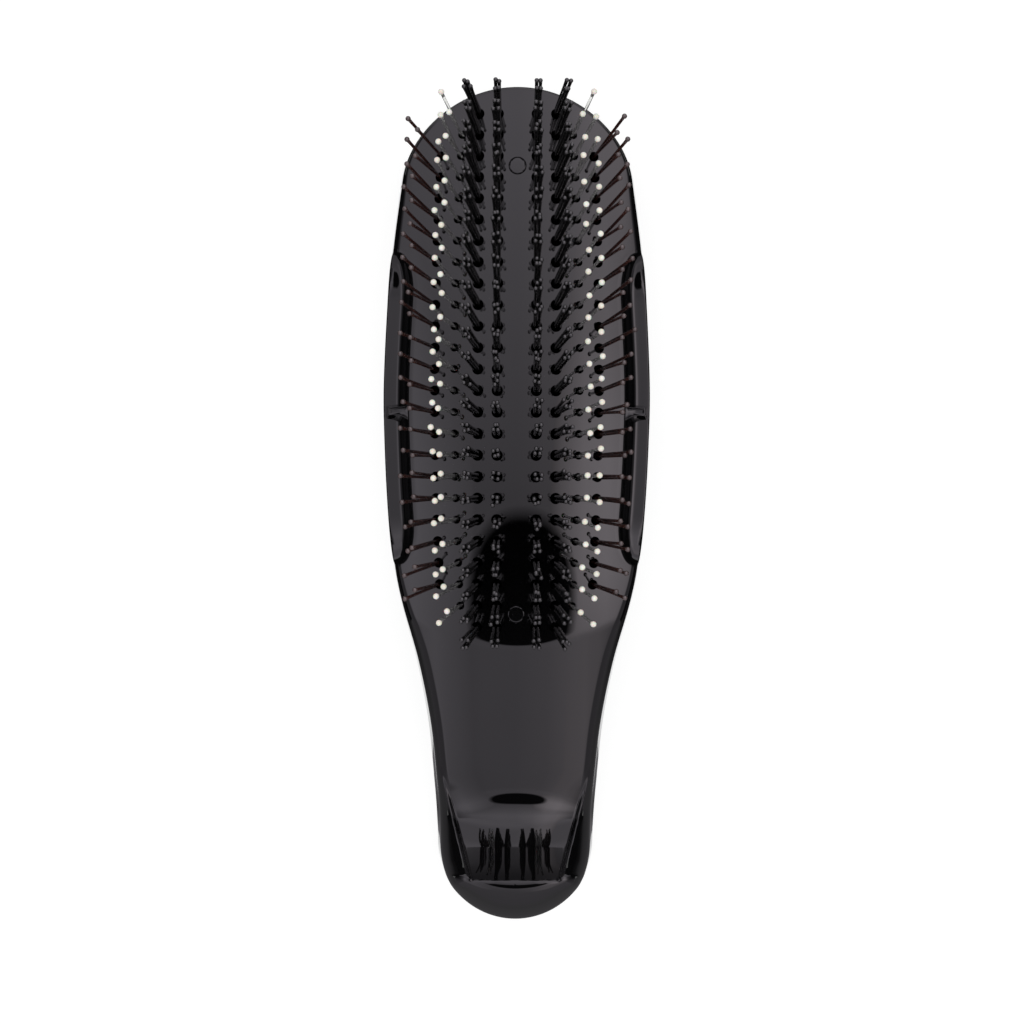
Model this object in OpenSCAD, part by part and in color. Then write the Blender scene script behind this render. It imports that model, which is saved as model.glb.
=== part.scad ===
/* [Body] */
// Length from the round tail to the tip of the head
body_len = 175; // [171:1:179]
// Width at the widest place, beside the tufts
body_w = 55.8; // [54:0.2:58]
// Width of the round tail
tail_w = 32.6; // [31.4:0.2:34]
// Length of the rounded end of the head
head_end = 19.8; // [18:0.2:22]
// Height of the flat joint between the two shells
joint_h = 6.5; // [6.2:0.1:6.8]
// Wall of both shells
wall = 2; // [1.8:0.1:2.2]
// Lean of the side walls, from the joint up to the rounding
draft = 0.6; // [0.4:0.1:0.8]

/* [Face] */
// Height of the face at its crest
face_h = 24.5; // [24:0.1:25]
// Distance from the head tip back to the crest of the face
crest_in = 82; // [79:0.5:85]
// Radius of the face along its length, from the crest to the head
arch_r = 400; // [360:10:500]
// Radius of the face along its length, from the crest to the handle
fall_r = 220; // [200:5:260]
// Radius of the face across its width
crown_r = 80; // [75:1:95]
// Thickness of the face where the tufts are set
block_t = 4.5; // [4:0.1:5]
// Rounding where the face meets the side walls
face_round = 1.4; // [1.2:0.1:1.8]

/* [Handle] */
// Distance from the head tip to the soft crease where the handle begins
crease_in = 117.2; // [116:0.2:119]
// Slope of the handle, from the crease down to the thumb scoop
handle_slope = 0.26; // [0.24:0.01:0.28]
// Radius across the handle
handle_r = 66; // [60:1:72]
// Distance from the tail to the bottom of the thumb scoop
scoop_in = 24.7; // [24.2:0.1:25.2]
// Radius at the bottom of the thumb scoop
scoop_r = 11; // [10:0.5:12]
// Radius in which the scoop climbs on to the lip
climb_r = 28; // [26:1:30]
// Height of the raised lip at the tail
lip_h = 25.6; // [25:0.1:26]
// Rounding along the sides of the handle
grip_round = 2.4; // [2:0.1:2.8]
// Rounding along the sides of the scoop
scoop_round = 3.2; // [2.8:0.1:3.6]
// Rounding over the end of the lip
lip_round = 8; // [7.4:0.1:8.6]
// Height of the narrow ridges beside the thumb scoop
ridge_h = 1.3; // [1:0.1:1.6]

/* [Finger grooves] */
// Distance from the head tip to the upper end of each groove
groove_top = 35.2; // [33:0.2:37]
// Distance from the head tip to the lower end of each groove
groove_low = 100.7; // [98:0.2:103]
// How far each groove reaches in from the widest outline
groove_in = 5.3; // [4.8:0.1:5.8]
// Height of the groove's floor at its outer edge
groove_h = 12.8; // [12.4:0.1:13.4]
// How far in the groove's flat floor reaches before it curves up
groove_ledge = 2.5; // [2.2:0.1:2.8]
// Length of the curved run-out at each end of a groove
groove_end = 9.5; // [8:0.5:11]
// Distance from the head tip to the finger rib in each groove
rib_in = 69.5; // [67:0.1:72]
// Thickness of the finger rib at its outer end
rib_t = 1.8; // [1.4:0.1:2.2]

/* [Back] */
// Radius of the back along its length
back_r = 850; // [800:10:1000]
// Radius of the back across its width
back_crown_r = 90; // [80:2:110]
// Width of the rounding from the joint to the back
back_round = 12; // [11:0.5:13]
// Depth of the shallow flat that the brush rests on
rest_cut = 0.8; // [0.7:0.05:0.9]

/* [Tufts] */
// Distance from the head tip to the first row of tufts
first_row_in = 6.4; // [5.8:0.1:7]
// Pitch of the tuft rows along the face
row_pitch = 4.46; // [4.4:0.02:4.5]
// Pitch of the tuft columns across the face
column_pitch = 4.05; // [3.9:0.05:4.2]
// How much further out the two outer columns bow at mid length
bow = 0.85; // [0.4:0.05:1.1]
// Length of a pin above the face
pin_len = 17; // [15:0.5:19]
// Thickness of a pin
pin_d = 0.6; // [0.5:0.05:0.7]
// Thickness of the round tip of a pin
tip_d = 1.2; // [1:0.05:1.3]
// Sideways lean of the outermost pins, at their tips
fan_side = 6; // [5:0.1:6.8]
// Lengthwise lean of the pins, for each mm from the crest
fan_end = 0.13; // [0.1:0.005:0.14]
// Width of the slice of backing that carries a column
strip_w = 2.6; // [2.4:0.1:2.8]
// Thickness of the slice of backing
strip_t = 1.2; // [1:0.1:1.6]

/* [Joint and screws] */
// Width of the step that the tongue of the back shell stands in
rebate = 1; // [0.8:0.05:1.1]
// Height of the tongue above the joint
tongue_h = 1.2; // [1:0.1:1.3]
// Clearance round tongues, plugs, screws and slices
gap = 0.1; // [0.05:0.01:0.15]
// Distance from the head tip to the upper screw
screw_top = 17.4; // [16.6:0.2:19]
// Distance from the head tip to the lower screw
screw_low = 110.7; // [109.7:0.2:111.5]
// Diameter of the flush plugs over the screws
plug_d = 3.5; // [3.3:0.05:3.8]
// Thickness of a plug
plug_t = 1.6; // [1.4:0.1:2]
// Diameter of a screw's head
screw_head_d = 3; // [2.8:0.05:3.1]
// Diameter of a screw's thread
screw_d = 1.7; // [1.5:0.05:1.9]
// Length of a screw under its head
screw_len = 8; // [7.4:0.1:8.2]
// Height of the seat under the screw heads
seat_h = 11.5; // [11.2:0.1:12]
// Diameter of the screw bosses
boss_d = 6.4; // [6:0.1:7]
// Diameter of the locating pegs in the handle and head
peg_d = 3; // [2.6:0.1:3.4]
// Distance from the tail to the lower peg
peg_tail = 15.5; // [14:0.5:17]
// Distance from the head tip to the upper peg
peg_head = 60; // [58:1:62]

/* [Hidden] */
$fn = 48;

gloss_black = [0.07, 0.07, 0.08];
tip_y = body_len / 2;
tail_y = -tip_y + tail_w / 2;
head_y = tip_y - head_end;
crest_y = tip_y - crest_in;
crease_y = tip_y - crease_in;
scoop_y = -tip_y + scoop_in;
groove_hi_y = tip_y - groove_top;
groove_lo_y = tip_y - groove_low;
rib_y = tip_y - rib_in;
screw_ys = [tip_y - screw_top, tip_y - screw_low];
peg_ys = [tip_y - peg_head, -tip_y + peg_tail];

// Where the outline passes: share of the length, share of the way from tail width to full width
SIDE = [
    [0.02, 0], [0.093, 0], [0.13, 0.025], [0.165, 0.07], [0.237, 0.185], [0.31, 0.4],
    [0.382, 0.7], [0.4245, 0.825], [0.503, 0.935], [0.6, 1], [0.65, 1],
    [0.733, 0.945], [0.8, 0.88], [0.9, 0.69], [1, 0.507]
];
last = len(SIDE) - 1;

function lerp(a, b, t) = a + (b - a) * t;
function clamp01(t) = min(max(t, 0), 1);
function ease(t) = let (c = clamp01(t)) c * c * (3 - 2 * c);
function soft_min(a, b, k) = let (h = max(k - abs(a - b), 0) / k) min(a, b) - h * h * k / 4;

// A smooth curve through the points of SIDE
function side_slope(i) =
    let (a = SIDE[max(i - 1, 0)], b = SIDE[min(i + 1, last)]) (b[1] - a[1]) / (b[0] - a[0]);
function side_share(t) =
    let (
        i = min(max(len([for (s = SIDE) if (s[0] <= t) 1]) - 1, 0), last - 1),
        w = SIDE[i + 1][0] - SIDE[i][0],
        s = (t - SIDE[i][0]) / w,
        s2 = s * s,
        s3 = s2 * s
    )
    (2 * s3 - 3 * s2 + 1) * SIDE[i][1] + (s3 - 2 * s2 + s) * w * side_slope(i)
    + (3 * s2 - 2 * s3) * SIDE[i + 1][1] + (s3 - s2) * w * side_slope(i + 1);
function half_w(y) = lerp(tail_w, body_w, side_share(y / body_len + 0.5)) / 2;

// The outline, from u = 0 at the tail, past 1 and 2 at the ends of the side, to 3 at the head tip
function outline(u) =
    u < 1 ? [tail_w / 2 * sin(90 * u), tail_y - tail_w / 2 * cos(90 * u)]
    : u < 2 ? let (y = lerp(tail_y, head_y, u - 1)) [half_w(y), y]
    : let (a = 90 * (u - 2), y = head_y + head_end * sin(a)) [half_w(y) * cos(a), y];
function u_at(y) = 1 + (y - tail_y) / (head_y - tail_y);
function inward(u) =
    let (step = 0.002, t = outline(u + step) - outline(u - step)) [-t[1], t[0]] / norm(t);
function place(u, d) = outline(u) + d * inward(u);

// The top surface: crowned head, handle that slopes down to the thumb scoop, and raised lip
crease_soft = 0.08;
rim_soft = 0.6;
lip_crown_r = 80;
lip_from = lerp(crease_y, scoop_y, 0.45);
scoop_turn = 34;
climb_turn = 53;
handle_turn = atan(handle_slope);
handle_foot = scoop_y + scoop_r * sin(handle_turn);
scoop_h = head_z(0, crease_y) - handle_slope * (crease_y - handle_foot)
    - scoop_r * (1 - cos(handle_turn));

function head_z(x, y) =
    face_h - pow(y - crest_y, 2) / (2 * (y > crest_y ? arch_r : fall_r)) - x * x / (2 * crown_r);
function lip_z(x) = lip_h - x * x / (2 * lip_crown_r);
function bowl(s, r) = r - sqrt(r * r - s * s);

// The climb from the bottom of the scoop to the lip turns in two arcs and then runs on straight
function climb(s) =
    let (
        first = scoop_r * sin(scoop_turn),
        reach = climb_r * (sin(climb_turn) - sin(scoop_turn)),
        c = min(s - first, reach)
    )
    s < first ? bowl(s, scoop_r)
    : bowl(first, scoop_r) + bowl(c + climb_r * sin(scoop_turn), climb_r)
        - bowl(climb_r * sin(scoop_turn), climb_r) + (s - first - c) * tan(climb_turn);

// How far in from the outline a point is, and the ridge that this gives beside the scoop
ridge_in = 3.8;
ridge_run = 1.3;
ridge_ahead = 7;
ridge_rise = 12;
function side_in(x, y) = y > tail_y ? half_w(y) - abs(x) : tail_w / 2 - norm([x, y - tail_y]);
function ridge_share(y) = ease((scoop_y + ridge_ahead - y) / ridge_rise);
function ridge_z(x, y) =
    ridge_h * ease((ridge_in + ridge_run - side_in(x, y)) / ridge_run) * ridge_share(y);
function handle_z(x, y) =
    scoop_h - x * x / (2 * handle_r) + ridge_z(x, y)
    + (y < scoop_y ? climb(scoop_y - y)
        : y < handle_foot ? bowl(y - scoop_y, scoop_r)
        : bowl(handle_foot - scoop_y, scoop_r) + (y - handle_foot) * handle_slope);
function top_z(x, y) =
    y > lip_from ? soft_min(head_z(x, y), handle_z(x, y), crease_soft)
    : soft_min(lip_z(x), handle_z(x, y), rim_soft);

// The edge of the top surface, which rounds over into the side walls. The power is 2 for a round
// edge, and less where the edge starts crisply, beside the scoop and at the lip.
grip_run = 22;
scoop_run = 12;
lip_len = 11.5;
function round_at(y) =
    let (
        grip = lerp(face_round, grip_round, ease((groove_lo_y - y) / grip_run)),
        side = lerp(grip, scoop_round, ease((scoop_y - y) / scoop_run + 1))
    )
    lerp(side, lip_round, ease((lip_len - tip_y - y) / lip_len));
function power_at(y) = lerp(2, 1.5, ease((scoop_y - y) / scoop_run + 1));
function edge_drop(d, r, power) =
    let (e = clamp01(1 - (d - draft) / r)) r - r * pow(1 - pow(e, power), 1 / power);
function skin_z(u, d, r) =
    let (p = place(u, d)) top_z(p[0], p[1]) - edge_drop(d, r, power_at(outline(u)[1]));

// How far a row is into a finger groove, from 0 outside it to 1 past its curved end
function groove_share(y) =
    let (t = clamp01(min(y - groove_lo_y, groove_hi_y - y) / groove_end)) sqrt(1 - (1 - t) * (1 - t));

// Rows of the mesh, closer together at the ends of the grooves
end_steps = [0.016, 0.06, 0.16, 0.32, 0.58, 1];
function span(a, b, n) = [for (i = [1:n]) lerp(a, b, i / n)];
FRONT_ROWS = concat(
    [0], span(0, 1, 8),
    [for (y = span(tail_y, scoop_y + 4, 5)) u_at(y)],
    [for (y = span(scoop_y + 4, groove_lo_y, 8)) u_at(y)],
    [for (s = end_steps) u_at(groove_lo_y + s * groove_end)],
    [for (y = span(groove_lo_y + groove_end, groove_hi_y - groove_end, 4)) u_at(y)],
    [for (i = [len(end_steps) - 2:-1:0]) u_at(groove_hi_y - end_steps[i] * groove_end)],
    [for (y = span(groove_hi_y, head_y, 2)) u_at(y)],
    span(2, 3, 8)
);
BACK_ROWS = concat([0], span(0, 1, 6), span(1, 2, 12), span(2, 3, 7));

// A closed skin over half sections that are mirrored in x: each half section runs from the middle of
// the outside, past the edge, to the middle of the inside. Points before first and after second meet
// in one point on the end rows, where the two halves also meet.
function loop_index(row, j, half, is_end, first, second) =
    let (
        size = 2 * half - 2,
        k = j % size,
        m = k < half ? k : size - k
    )
    row * size + (is_end ? min(max(m, first), second) : k);
function mirrored(section) =
    concat(section, [for (i = [len(section) - 2:-1:1]) [-section[i][0], section[i][1], section[i][2]]]);
module lofted_shell(sections, first, second) {
    half = len(sections[0]);
    last_row = len(sections) - 1;
    points = [for (s = sections) each mirrored(s)];
    quads = [
        for (row = [0:last_row - 1]) for (j = [0:2 * half - 3])
            [for (c = [[1, 0], [1, 1], [0, 1], [0, 0]])
                let (r = row + c[0])
                loop_index(r, j + c[1], half, r == 0 || r == last_row, first, second)]
    ];
    faces = [
        for (q = quads) each [
            if (q[0] != q[1] && q[1] != q[2] && q[2] != q[0]) [q[0], q[1], q[2]],
            if (q[0] != q[2] && q[2] != q[3] && q[3] != q[0]) [q[0], q[2], q[3]]
        ]
    ];
    polyhedron(points, faces, convexity = 6);
}

// Half section of the front shell: [distance in from the outline, height] for each point
groove_lip = 0.5;
groove_edge = 0.6;
WALL_POINTS = 3;
ROUND_POINTS = 6;
EDGE_POINTS = WALL_POINTS + ROUND_POINTS;
function plain_edge(c, u, r) =
    c <= WALL_POINTS
    ? [draft * c / WALL_POINTS, lerp(joint_h, skin_z(u, draft, r), c / WALL_POINTS)]
    : let (d = draft + r * (1 - cos(90 * (c - WALL_POINTS) / ROUND_POINTS))) [d, skin_z(u, d, r)];
function groove_edge_z(u) = let (p = place(u, groove_in + groove_edge)) top_z(p[0], p[1]);
function cove_edge(c, u) =
    let (z = groove_edge_z(u), low = z - groove_edge)
    c == 0 ? [0, joint_h]
    : c == 1 ? [0, groove_h - groove_lip]
    : c == 2 ? [0.3 * groove_lip, groove_h - 0.3 * groove_lip]
    : c == 3 ? [groove_lip, groove_h]
    : c < EDGE_POINTS - 1 ? let (a = 30 * (c - 4))
        [lerp(groove_ledge, groove_in, sin(a)), lerp(low, groove_h, cos(a))]
    : c == EDGE_POINTS - 1 ? [groove_in + 0.3 * groove_edge, z - 0.3 * groove_edge]
    : [groove_in + groove_edge, z];
function outer_edge(c, u) =
    let (y = outline(u)[1]) lerp(plain_edge(c, u, round_at(y)), cove_edge(c, u), groove_share(y));

tongue_room = joint_h + tongue_h + gap;
function face_t(y) = lerp(wall, block_t, ease((y - crease_y) / 8 + 0.75));
function plain_inside(c, u, r) =
    let (
        t = face_t(outline(u)[1]),
        corner = 0.29 * r + 0.71 * wall,
        d = c == 1 ? wall + draft : c == 2 ? max(draft + corner, wall + draft + 0.4) : draft + r + 1,
        p = place(u, d)
    )
    [d, top_z(p[0], p[1]) - (c == 1 ? max(r, t) : c == 2 ? max(corner, t) : t)];
function cove_inside(c, u) =
    c == 1 ? [wall, groove_h - wall]
    : c == 2 ? [groove_in + wall, groove_h - wall]
    : [groove_in + wall + 0.3, groove_edge_z(u) - face_t(outline(u)[1])];
function inner_edge(c, u) =
    let (y = outline(u)[1], e = lerp(plain_inside(c, u, round_at(y)), cove_inside(c, u), groove_share(y)))
    [e[0], max(e[1], tongue_room + 0.3)];
function at(u, e) = let (p = place(u, e[0])) [p[0], p[1], e[1]];

across = 4;
across_inside = 2;
ridge_foot = 0.2;
function front_section(u) =
    let (
        e = outer_edge(EDGE_POINTS, u),
        rim = place(u, e[0]),
        step = rim[0] / across * (1 + ridge_foot * ridge_share(rim[1])),
        f = inner_edge(3, u),
        inner = place(u, f[0])
    )
    concat(
        [for (i = [0:across - 1]) [i * step, rim[1], top_z(i * step, rim[1])]],
        [for (c = [EDGE_POINTS:-1:0]) at(u, outer_edge(c, u))],
        [for (e = [[rebate, joint_h], [rebate, tongue_room], [wall, tongue_room]]) at(u, e)],
        [for (c = [1:3]) at(u, inner_edge(c, u))],
        [for (i = [across_inside - 1:-1:0])
            let (x = inner[0] * i / across_inside)
            [x, inner[1], max(top_z(x, inner[1]) - face_t(outline(u)[1]), tongue_room + 0.3)]]
    );

// Half section of the back shell, whose crown is cut to a shallow flat at height 0
rest_y = 4;
function low_z(x, y) =
    max(0, pow(y - rest_y, 2) / (2 * back_r) + x * x / (2 * back_crown_r) - rest_cut);
function back_edge(u, a, in) =
    let (d = in + (back_round - in) * (1 - cos(a)), p = place(u, d))
    [d, joint_h - (joint_h - low_z(p[0], p[1]) - in) * sin(a)];
back_angles = [0, 14, 30, 48, 68, 90];
back_across = 3;
function back_section(u) =
    let (rim = place(u, back_round))
    concat(
        [for (i = [0:1]) let (x = rim[0] * i / 2) [x, rim[1], low_z(x, rim[1]) + wall]],
        [for (a = [90, 45, 0]) at(u, back_edge(u, a, wall))],
        [for (e = [[wall, joint_h + tongue_h], [rebate + gap, joint_h + tongue_h], [rebate + gap, joint_h]])
            at(u, e)],
        [for (a = back_angles) at(u, back_edge(u, a, 0))],
        [for (i = [back_across - 1:-1:0])
            let (x = rim[0] * i / back_across) [x, rim[1], low_z(x, rim[1])]]
    );

// The columns of tufts: place out from the middle, first and last row
INNER = [1, 0, 24];
OUTER = [2, 0, 24];
CLEAR = [3, 1, 23];
BROWN = [4, 2, 22];
mid_row = 12;
function row_y(k) = tip_y - first_row_in - k * row_pitch;
function column_x(column, y) =
    let (
        s = (y - row_y(mid_row)) / (mid_row * row_pitch),
        out = column[0] > 2 ? bow * (1 - 2 * s * s) : 0
    )
    column[0] * column_pitch + out;

// A pin leans away from the middle and from the crest. The second pin of a tuft leans less, and so do
// the pins of the first row.
outermost = 4 * column_pitch + bow;
first_row_share = 0.62;
fan_power = 2.2;
fan_fade = 170;
function pin_lean(x, y, share) =
    let (
        s = y - crest_y,
        first = y > row_y(0.5) ? first_row_share : 1,
        side = fan_side * pow(x / outermost, fan_power) * lerp(1, 0.75, share),
        end = fan_end * s * (1 - s * s / (fan_fade * fan_fade)) * lerp(1, 0.6, share) * first
    )
    [side, end, sqrt(pin_len * pin_len - side * side - end * end)];

// Two pins stand in each hole, side by side, and the outer one leans the full way
hole_spread = 0.45;
pin_root = 0.6;
pin_sides = 3;
function pin_axis(column, k, i) =
    let (
        y = row_y(k),
        x = column_x(column, y) + hole_spread * (1 - 2 * i),
        lean = pin_lean(x, y, i)
    )
    [[x, y, top_z(x, y)], lean / norm(lean)];

// Rings of a pin: distance along it and half thickness
PIN_RINGS = [[-pin_root, pin_d / 2], [pin_len - tip_d, pin_d / 2], [pin_len - tip_d / 2, tip_d / 2]];
pin_points = len(PIN_RINGS) * pin_sides + 1;
function pin_mesh(axis) =
    let (
        side = cross([0, 1, 0], axis[1]) / norm(cross([0, 1, 0], axis[1])),
        up = cross(axis[1], side)
    )
    concat(
        [for (r = PIN_RINGS) for (i = [0:pin_sides - 1])
            let (a = 360 * i / pin_sides) axis[0] + r[0] * axis[1] + r[1] * (cos(a) * side + sin(a) * up)],
        [axis[0] + pin_len * axis[1]]
    );
function pin_faces(first) =
    let (rings = len(PIN_RINGS), n = pin_sides, top = first + (rings - 1) * n)
    concat(
        [[for (i = [0:n - 1]) first + i]],
        [for (r = [0:rings - 2]) for (i = [0:n - 1])
            let (a = first + r * n, j = (i + 1) % n) each [
                [a + i, a + n + i, a + n + j],
                [a + i, a + n + j, a + j]
            ]],
        [for (i = [0:n - 1]) [top + i, top + n, top + (i + 1) % n]]
    );
module pins(column) {
    axes = [for (k = [column[1]:column[2]]) for (i = [0, 1]) pin_axis(column, k, i)];
    polyhedron(
        [for (a = axes) each pin_mesh(a)],
        [for (p = [0:len(axes) - 1]) each pin_faces(p * pin_points)],
        convexity = 10
    );
}

// A slice of the face along a column of tufts. The same form, grown by a clearance, cuts its channel.
strip_rows = 8;
strip_over = 1.2;
module strip(column, grow, above) {
    y0 = row_y(column[2]) - strip_over - grow;
    y1 = row_y(column[1]) + strip_over + grow;
    points = [
        for (i = [0:strip_rows])
            let (y = lerp(y0, y1, i / strip_rows), x = column_x(column, y), w = strip_w / 2 + grow)
            each [for (c = [[-1, 0], [-1, 1], [1, 1], [1, 0]])
                let (px = x + c[0] * w)
                [px, y, top_z(px, y) + (c[1] == 1 ? above : -strip_t - grow)]]
    ];
    sides = [
        for (i = [0:strip_rows - 1]) for (j = [0:3])
            let (a = 4 * i, k = (j + 1) % 4) each [
                [a + j, a + 4 + j, a + 4 + k],
                [a + j, a + 4 + k, a + k]
            ]
    ];
    end = 4 * strip_rows;
    ends = [[0, 1, 2], [0, 2, 3], [end + 2, end + 1, end], [end + 3, end + 2, end]];
    polyhedron(points, concat(sides, ends));
}

module on_side(right) {
    if (right) children();
    else mirror([1, 0, 0]) children();
}
module tufts(column, right) {
    on_side(right) {
        strip(column, 0, 0);
        pins(column);
    }
}

// The rib across each finger groove, wider at the face and dished on top
rib_drop = 1.2;
rib_short = 1.1;
rib_dish_r = 4.2;
rib_dish_lift = 3.4;
module finger_rib() {
    edge = half_w(rib_y);
    top = top_z(edge - groove_in - groove_edge, rib_y) - rib_drop;
    difference() {
        translate([0, rib_y, groove_h - wall / 2])
            linear_extrude(top - groove_h + wall / 2)
            polygon([
                [edge - groove_in - wall / 2, rib_t], [edge - rib_short, rib_t],
                [edge - rib_short, 0], [edge - groove_in + 1, -rib_t], [edge - groove_in - wall / 2, -rib_t]
            ]);
        translate([edge - groove_in / 2 - 0.4, rib_y, top + rib_dish_lift])
            rotate([90, 0, 0]) cylinder(r = rib_dish_r, h = 4 * rib_t, center = true);
    }
}

boss_root = wall / 2;
function boss_top(y) = top_z(0, y) - face_t(y) + boss_root;
module front_shell() {
    color(gloss_black)
    difference() {
        union() {
            lofted_shell([for (u = FRONT_ROWS) front_section(u)], across, across + EDGE_POINTS + 6);
            for (y = screw_ys)
                translate([0, y, joint_h + gap]) cylinder(d = boss_d, h = boss_top(y) - joint_h);
            for (y = peg_ys)
                translate([0, y, joint_h - 2 * tongue_h])
                    cylinder(d = peg_d, h = boss_top(y) - joint_h + 2 * tongue_h);
            for (right = [true, false]) on_side(right) finger_rib();
        }
        for (y = screw_ys) translate([0, y, 0]) {
            translate([0, 0, joint_h - 1]) cylinder(d = screw_d + 2 * gap, h = seat_h - joint_h + 2);
            translate([0, 0, seat_h])
                cylinder(d = screw_head_d + 2 * gap, h = top_z(0, y) - plug_t - seat_h + 0.5);
            translate([0, 0, top_z(0, y) - plug_t - gap]) cylinder(d = plug_d + 2 * gap, h = plug_t + 3);
        }
        for (column = [INNER, OUTER, CLEAR, BROWN]) for (right = [true, false])
            on_side(right) strip(column, gap, 2);
    }
}

module back_shell() {
    peg_socket = peg_d + 2 * gap;
    color(gloss_black)
    difference() {
        union() {
            lofted_shell([for (u = BACK_ROWS) back_section(u)], 2, 7 + len(back_angles));
            for (y = concat(screw_ys, peg_ys))
                translate([0, y, low_z(0, y) + boss_root])
                    cylinder(d = boss_d, h = joint_h - low_z(0, y) - boss_root);
        }
        for (y = screw_ys)
            translate([0, y, seat_h - screw_len - gap]) cylinder(d = screw_d + 2 * gap, h = joint_h);
        for (y = peg_ys)
            translate([0, y, joint_h - 2 * tongue_h - gap]) cylinder(d = peg_socket, h = joint_h);
    }
}

// Round plugs, whose tops follow the slope of the face
module screw_plugs() {
    color(gloss_black)
    for (y = screw_ys) {
        slope = atan((top_z(0, y + 1) - top_z(0, y - 1)) / 2);
        difference() {
            translate([0, y, top_z(0, y) - plug_t]) cylinder(d = plug_d, h = plug_t + 1);
            translate([0, y, top_z(0, y)]) rotate([slope, 0, 0])
                translate([-plug_d, -plug_d, 0]) cube([2 * plug_d, 2 * plug_d, 3]);
        }
    }
}

screw_head_t = 1.2;
module shell_screws() {
    color("silver")
    for (y = screw_ys) translate([0, y, seat_h])
        difference() {
            union() {
                cylinder(d = screw_head_d, h = screw_head_t);
                translate([0, 0, -screw_len]) cylinder(d = screw_d, h = screw_len + 0.1);
            }
            for (turn = [0, 90]) rotate([0, 0, turn])
                translate([-0.8, -0.2, screw_head_t - 0.6]) cube([1.6, 0.4, 1]);
        }
}

module black_tufts_inner_left() { color("black") tufts(INNER, false); }
module black_tufts_inner_right() { color("black") tufts(INNER, true); }
module black_tufts_outer_left() { color("black") tufts(OUTER, false); }
module black_tufts_outer_right() { color("black") tufts(OUTER, true); }
module clear_tufts_left() { color([0.8, 0.8, 0.74]) tufts(CLEAR, false); }
module clear_tufts_right() { color([0.8, 0.8, 0.74]) tufts(CLEAR, true); }
module brown_tufts_left() { color([0.25, 0.13, 0.1]) tufts(BROWN, false); }
module brown_tufts_right() { color([0.25, 0.13, 0.1]) tufts(BROWN, true); }

front_shell();
back_shell();
screw_plugs();
shell_screws();
black_tufts_inner_left();
black_tufts_inner_right();
black_tufts_outer_left();
black_tufts_outer_right();
clear_tufts_left();
clear_tufts_right();
brown_tufts_left();
brown_tufts_right();
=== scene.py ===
import math
import random

import bmesh
import bpy
import numpy as np
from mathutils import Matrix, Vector
from mathutils.bvhtree import BVHTree


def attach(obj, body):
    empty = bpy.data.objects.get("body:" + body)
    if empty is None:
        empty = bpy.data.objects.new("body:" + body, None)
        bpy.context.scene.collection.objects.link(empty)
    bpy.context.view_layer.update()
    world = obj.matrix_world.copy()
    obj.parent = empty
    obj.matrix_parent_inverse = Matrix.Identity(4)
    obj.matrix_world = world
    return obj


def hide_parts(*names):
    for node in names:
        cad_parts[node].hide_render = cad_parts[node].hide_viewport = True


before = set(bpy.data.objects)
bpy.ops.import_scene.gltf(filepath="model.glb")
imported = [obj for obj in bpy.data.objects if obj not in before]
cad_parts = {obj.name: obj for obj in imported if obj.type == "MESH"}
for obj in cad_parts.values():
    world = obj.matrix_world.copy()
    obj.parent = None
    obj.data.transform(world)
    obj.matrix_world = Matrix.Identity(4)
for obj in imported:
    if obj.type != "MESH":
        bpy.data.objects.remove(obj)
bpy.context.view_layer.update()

MM = 0.001
rng = random.Random(41)

# Sizes in mm, the same as in the part's source
BODY_LEN, BODY_W, TAIL_W, HEAD_END = 175.0, 55.8, 32.6, 19.8
JOINT_H, DRAFT = 6.5, 0.6
FACE_H, CREST_IN, ARCH_R, FALL_R, CROWN_R, FACE_ROUND = 24.5, 82.0, 400.0, 220.0, 80.0, 1.4
CREASE_IN, HANDLE_SLOPE, HANDLE_R, CREASE_SOFT = 117.2, 0.26, 66.0, 0.08
SCOOP_IN, SCOOP_R, LIP_H, LIP_CROWN_R = 24.7, 11.0, 25.6, 80.0
GROOVE_TOP, GROOVE_LOW, GROOVE_IN, GROOVE_H, GROOVE_END = 35.2, 100.7, 5.3, 12.8, 9.5
RIB_IN = 69.5
BACK_R, BACK_CROWN_R, BACK_ROUND, REST_CUT, REST_Y = 850.0, 90.0, 12.0, 0.8, 4.0
FIRST_ROW_IN, ROW_PITCH, COLUMN_PITCH, BOW = 6.4, 4.46, 4.05, 0.85
PIN_LEN, PIN_D = 17.0, 0.6
SCREW_TOP, SCREW_LOW, PLUG_D, PLUG_T = 17.4, 110.7, 3.5, 1.6

# Sizes that differ a little from the source's, and the bevel at the joint, which only this scene has
GRIP_ROUND, RIDGE_H, RIDGE_RUN = 2.6, 1.5, 1.0
GROOVE_LIP, GROOVE_EDGE, GROOVE_LEDGE = 0.4, 0.5, 2.6
SEAM = 0.14

TIP_Y = BODY_LEN / 2
TAIL_Y = -TIP_Y + TAIL_W / 2
HEAD_Y = TIP_Y - HEAD_END
CREST_Y = TIP_Y - CREST_IN
CREASE_Y = TIP_Y - CREASE_IN
SCOOP_Y = -TIP_Y + SCOOP_IN
GROOVE_HI_Y = TIP_Y - GROOVE_TOP
GROOVE_LO_Y = TIP_Y - GROOVE_LOW
RIB_Y = TIP_Y - RIB_IN
SCREW_YS = (TIP_Y - SCREW_TOP, TIP_Y - SCREW_LOW)

# The side's curve: share of the length from the tail, share of the way from TAIL_W to BODY_W
SIDE = np.array([
    (0.02, 0), (0.093, 0), (0.13, 0.025), (0.165, 0.07), (0.237, 0.185), (0.31, 0.4),
    (0.382, 0.7), (0.4245, 0.825), (0.503, 0.935), (0.6, 1), (0.65, 1),
    (0.733, 0.945), (0.8, 0.88), (0.9, 0.69), (1, 0.507)])


# Curves and surfaces of the body, worked on whole arrays at once

def lerp(a, b, t):
    return a + (b - a) * t


def ease(t):
    t = np.clip(t, 0, 1)
    return t * t * (3 - 2 * t)


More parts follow.
